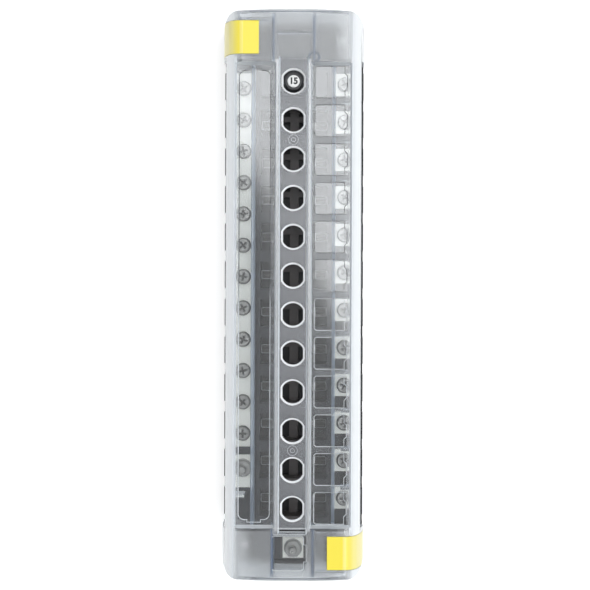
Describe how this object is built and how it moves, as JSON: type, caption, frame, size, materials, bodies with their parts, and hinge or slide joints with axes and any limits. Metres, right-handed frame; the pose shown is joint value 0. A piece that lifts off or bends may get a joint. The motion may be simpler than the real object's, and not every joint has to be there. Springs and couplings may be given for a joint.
{
  "type": "circuit breaker block",
  "caption": "Surface-mount push-button circuit breaker block with a clear lift-off cover, black base, negative bus, screw terminals and yellow latches.",
  "frame": {"origin": "centre of the mounting face at the back", "axes": "+Z out of the mounting face towards the cover, +Y along the block towards the fitted breaker, +X towards the load terminals"},
  "size_m": [0.0846, 0.3368, 0.051],
  "materials": {
    "base_black": "black glass-filled moulding, satin",
    "cover_clear": "clear polycarbonate, finely textured outside the polished windows",
    "latch_yellow": "glossy yellow moulding",
    "tinned_metal": "tin-plated copper and brass",
    "steel": "bright stainless steel",
    "breaker_black": "moulded black thermoset",
    "bushing_metal": "turned and threaded",
    "button_white": "white moulding with a dark printed rating",
    "brass": "rolled strip"
  },
  "bodies": {
    "root": {"base_moulding": "base_black", "breaker_bimetal": "brass", "breaker_bushing": "bushing_metal", "breaker_case_lower": "breaker_black", "breaker_case_upper": "breaker_black", "breaker_line_blade": "tinned_metal", "breaker_load_blade": "tinned_metal", "breaker_rivets": "steel", "cover": "cover_clear", "latch_pin_lower_right": "steel", "latch_pin_upper_left": "steel", "line_clip_01": "tinned_metal", "line_clip_02": "tinned_metal", "line_clip_03": "tinned_metal", "line_clip_04": "tinned_metal", "line_clip_05": "tinned_metal", "line_clip_06": "tinned_metal", "line_clip_07": "tinned_metal", "line_clip_08": "tinned_metal", "line_clip_09": "tinned_metal", "line_clip_10": "tinned_metal", "line_clip_11": "tinned_metal", "line_clip_12": "tinned_metal", "load_terminal_01": "tinned_metal", "load_terminal_02": "tinned_metal", "load_terminal_03": "tinned_metal", "load_terminal_04": "tinned_metal", "load_terminal_05": "tinned_metal", "load_terminal_06": "tinned_metal", "load_terminal_07": "tinned_metal", "load_terminal_08": "tinned_metal", "load_terminal_09": "tinned_metal", "load_terminal_10": "tinned_metal", "load_terminal_11": "tinned_metal", "load_terminal_12": "tinned_metal", "load_terminal_screws": "steel", "negative_bus_bar": "tinned_metal", "negative_bus_screws": "steel", "negative_stud": "steel", "negative_stud_nut": "steel", "negative_stud_washer": "steel", "positive_bus_bar": "tinned_metal", "positive_stud": "steel", "positive_stud_nut": "steel", "positive_stud_washer": "steel"},
    "upper_left_latch": {"latch_upper_left": "latch_yellow"},
    "lower_right_latch": {"latch_lower_right": "latch_yellow"},
    "reset_button": {"breaker_reset_button": "button_white", "breaker_return_spring": "steel"}
  },
  "joints": [
    {"name": "upper_left_latch_hinge", "type": "hinge", "parent": "root", "child": "upper_left_latch", "pos_m": [-0.04, 0.15151, 0.0195], "axis": [0, -1, 0], "range_deg": [0, 100]},
    {"name": "lower_right_latch_hinge", "type": "hinge", "parent": "root", "child": "lower_right_latch", "pos_m": [0.04, -0.15151, 0.0195], "axis": [0, 1, 0], "range_deg": [0, 100]},
    {"name": "reset_button_slide", "type": "slide", "parent": "root", "child": "reset_button", "axis": [0, 0, 1], "range_m": [0, 0.0045], "deforming": ["breaker_return_spring"]}
  ]
}
